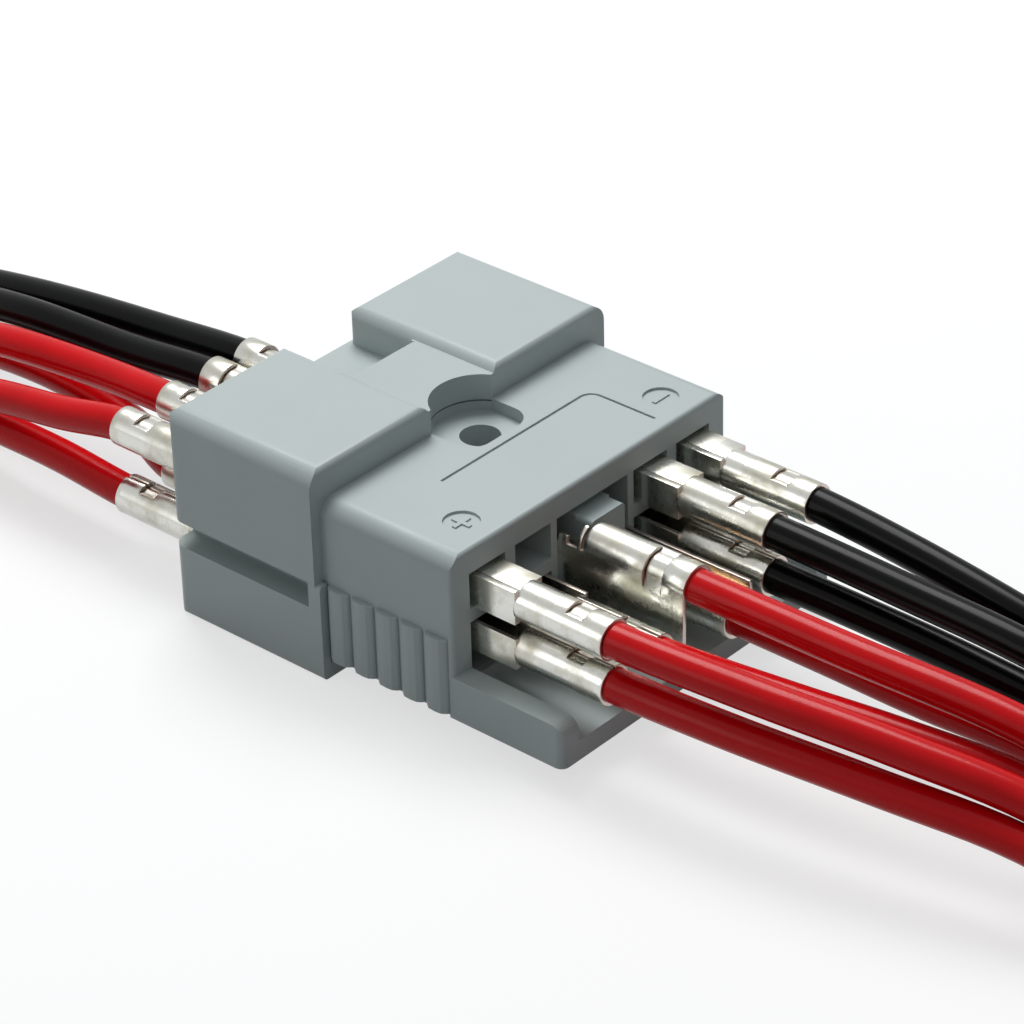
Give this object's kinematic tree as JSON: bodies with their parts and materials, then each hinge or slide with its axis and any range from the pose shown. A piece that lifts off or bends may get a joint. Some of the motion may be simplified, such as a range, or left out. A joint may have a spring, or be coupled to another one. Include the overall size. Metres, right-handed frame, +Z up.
{
  "type": "genderless power connector",
  "caption": "Plugged pair of grey genderless power connector housings with tin-plated crimp contacts and short red and black leads; the hooded half slides off.",
  "frame": {"origin": "middle of the bounding box at its base, leads left out: the seam between the two housings, on the surface they stand on", "axes": "+X along the plugging axis towards the fixed half's wires, +Y across the width, +Z up"},
  "size_m": [0.3234, 0.0658, 0.0353],
  "materials": {
    "housing_grey": "moulded, fine matte",
    "tin_plate": "tin plate over copper alloy, satin",
    "lead_red": "smooth, slightly glossy",
    "lead_black": "smooth, slightly glossy"
  },
  "bodies": {
    "fixed_half": {"housing_fixed": "housing_grey", "contact_a_outer_upper": "tin_plate", "contact_a_outer_lower": "tin_plate", "contact_a_inner_lower": "tin_plate", "contact_b_inner_upper": "tin_plate", "contact_b_inner_lower": "tin_plate", "contact_b_outer_upper": "tin_plate", "power_contact_fixed_near": "tin_plate", "power_contact_fixed_far": "tin_plate", "lead_red_a_outer_upper": "lead_red", "lead_red_a_outer_lower": "lead_red", "lead_red_a_inner_lower": "lead_red", "lead_red_power_near": "lead_red", "lead_red_power_far": "lead_red", "lead_black_b_inner_upper": "lead_black", "lead_black_b_inner_lower": "lead_black", "lead_black_b_outer_upper": "lead_black"},
    "moving_half": {"housing_moving": "housing_grey", "contact_c_outer_upper": "tin_plate", "contact_c_outer_lower": "tin_plate", "contact_c_inner_upper": "tin_plate", "contact_c_inner_lower": "tin_plate", "power_contact_moving_near": "tin_plate", "power_contact_moving_far": "tin_plate", "lead_red_c_outer_upper": "lead_red", "lead_red_c_outer_lower": "lead_red", "lead_red_c_inner_upper": "lead_red", "lead_red_c_inner_lower": "lead_red", "lead_black_d_near": "lead_black", "lead_black_d_far": "lead_black"}
  },
  "joints": [
    {"name": "unplug", "type": "slide", "parent": "fixed_half", "child": "moving_half", "axis": [-1, 0, 0], "range_m": [0, 0.04]}
  ]
}
